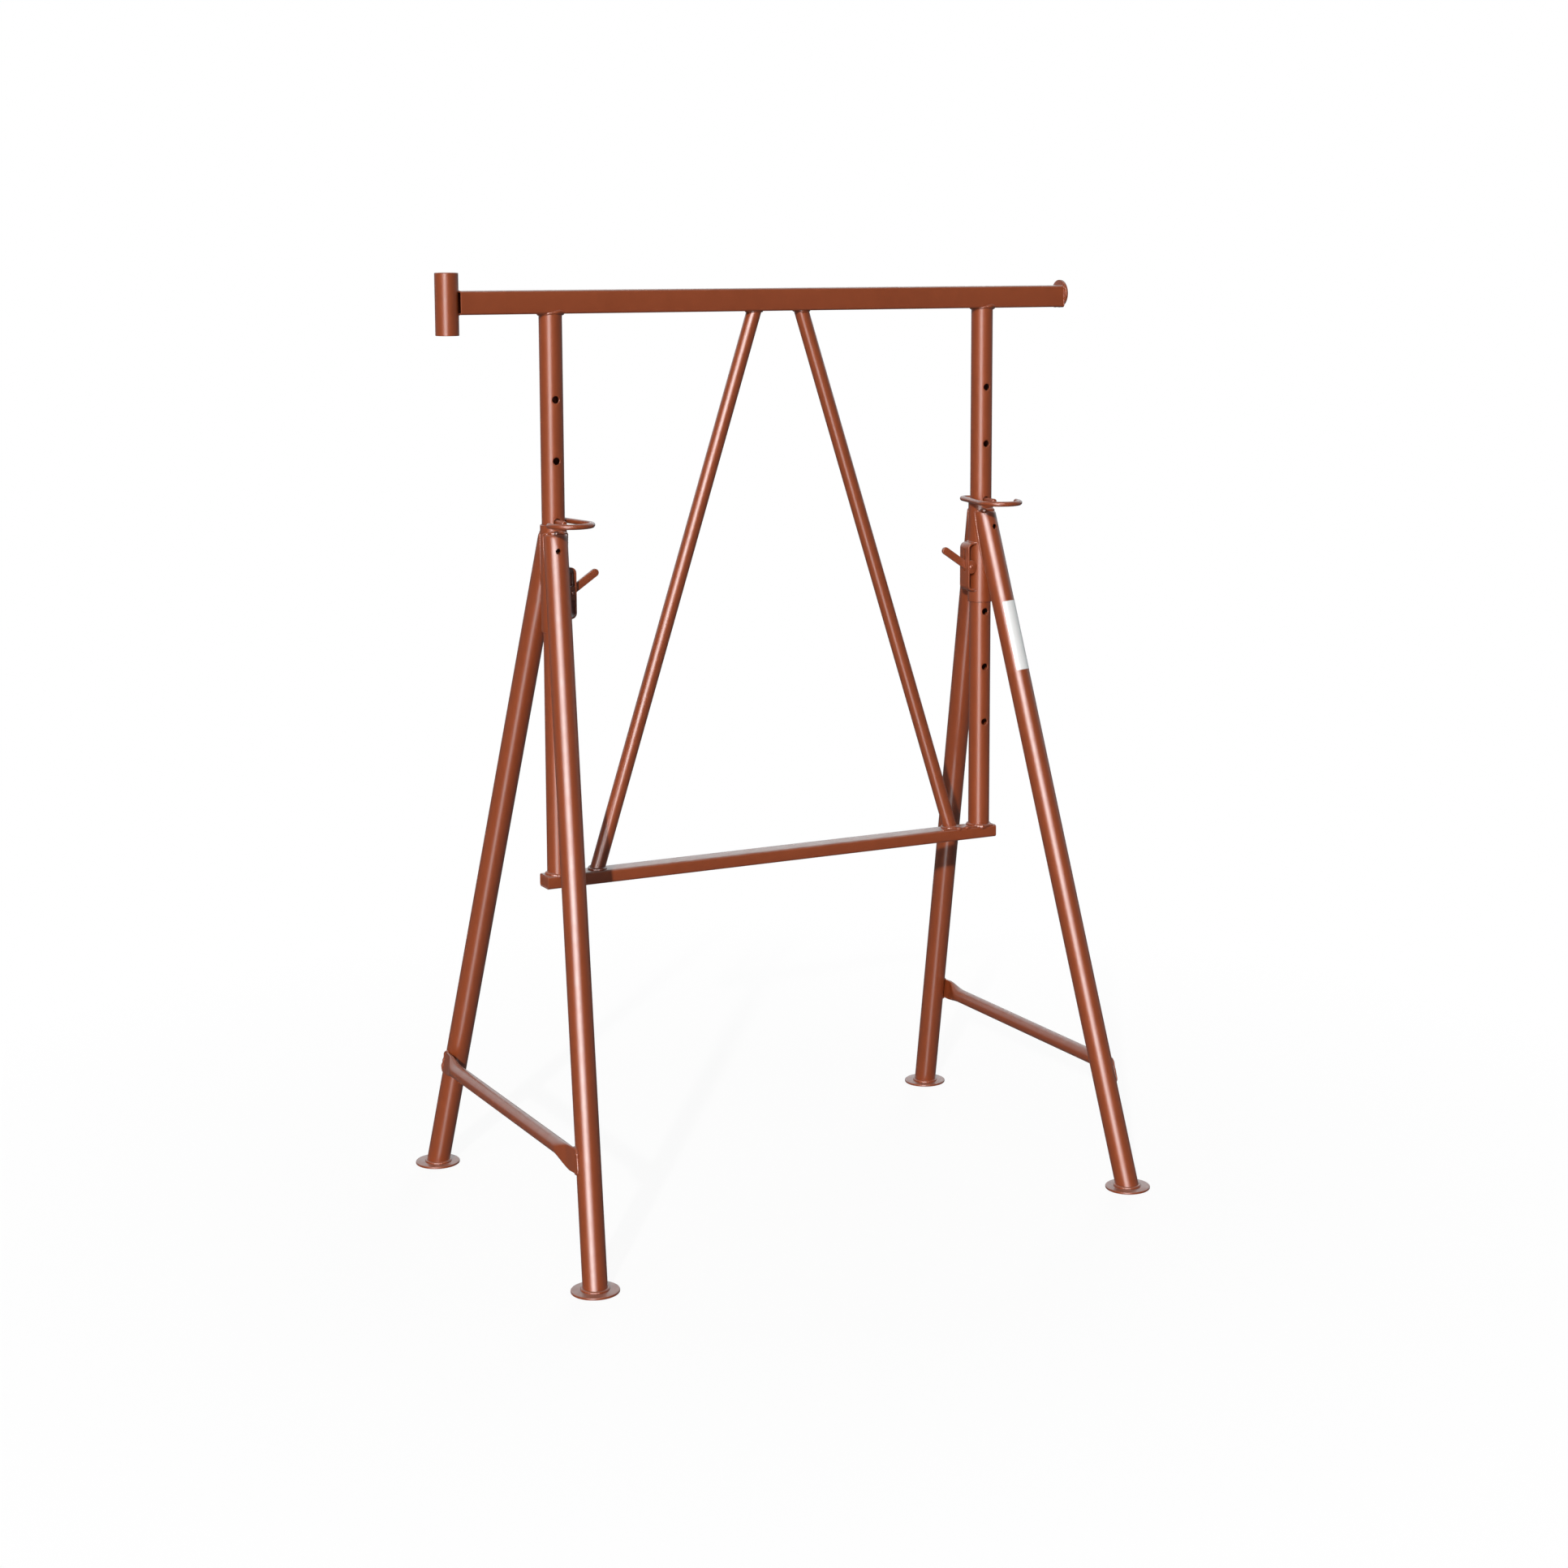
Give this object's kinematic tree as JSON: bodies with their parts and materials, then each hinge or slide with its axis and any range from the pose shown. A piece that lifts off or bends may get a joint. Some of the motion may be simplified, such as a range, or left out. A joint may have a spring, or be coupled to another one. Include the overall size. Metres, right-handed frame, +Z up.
{
  "type": "builders trestle",
  "caption": "Height-adjustable steel builders trestle: a braced upper frame with perforated posts slides in splayed leg frames and is held by G-shaped pins and cam levers.",
  "frame": {"origin": "on the floor, under the middle of the trestle's outline", "axes": "+Z up, +X along the head rail away from the guard-rail socket, -Y to the front where the pins' loops are"},
  "size_m": [1.181, 0.786, 1.589],
  "materials": {
    "frame_paint": "semi-gloss red-brown paint",
    "leg_paint": "semi-gloss red-brown paint",
    "hardware_paint": "semi-gloss red-brown paint with wear at the clamp",
    "pin_paint": "semi-gloss red-brown paint worn by handling"
  },
  "bodies": {
    "upper_frame": {"head_rail": "frame_paint", "guardrail_socket": "frame_paint", "end_stop_disc": "frame_paint", "left_post": "frame_paint", "right_post": "frame_paint", "left_brace": "frame_paint", "right_brace": "frame_paint", "bottom_rail": "frame_paint", "bottom_rail_caps": "frame_paint"},
    "left_leg_frame": {"left_sleeve": "leg_paint", "left_front_leg": "leg_paint", "left_rear_leg": "leg_paint", "left_front_foot": "leg_paint", "left_rear_foot": "leg_paint", "left_cross_brace": "leg_paint", "left_clamp_bracket": "hardware_paint", "left_clamp_rivet": "hardware_paint"},
    "left_lever": {"left_clamp_lever": "hardware_paint"},
    "left_pin": {"left_lock_pin": "pin_paint"},
    "right_leg_frame": {"right_sleeve": "leg_paint", "right_front_leg": "leg_paint", "right_rear_leg": "leg_paint", "right_front_foot": "leg_paint", "right_rear_foot": "leg_paint", "right_cross_brace": "leg_paint", "right_clamp_bracket": "hardware_paint", "right_clamp_rivet": "hardware_paint"},
    "right_lever": {"right_clamp_lever": "hardware_paint"},
    "right_pin": {"right_lock_pin": "pin_paint"}
  },
  "joints": [
    {"name": "left_height", "type": "slide", "parent": "upper_frame", "child": "left_leg_frame", "axis": [0, 0, -1], "range_m": [0, 0.4]},
    {"name": "left_lever_swing", "type": "hinge", "parent": "left_leg_frame", "child": "left_lever", "pos_m": [-0.3669, 0, 1.064], "axis": [0, -1, 0], "range_deg": [0, 28]},
    {"name": "left_pin_pull", "type": "slide", "parent": "upper_frame", "child": "left_pin", "axis": [0, 1, 0], "range_m": [0, 0.068]},
    {"name": "right_height", "type": "slide", "parent": "upper_frame", "child": "right_leg_frame", "axis": [0, 0, -1], "range_m": [0, 0.4]},
    {"name": "right_lever_swing", "type": "hinge", "parent": "right_leg_frame", "child": "right_lever", "pos_m": [0.3979, 0, 1.064], "axis": [0, 1, 0], "range_deg": [0, 28]},
    {"name": "right_pin_pull", "type": "slide", "parent": "upper_frame", "child": "right_pin", "axis": [0, 1, 0], "range_m": [0, 0.068]}
  ]
}
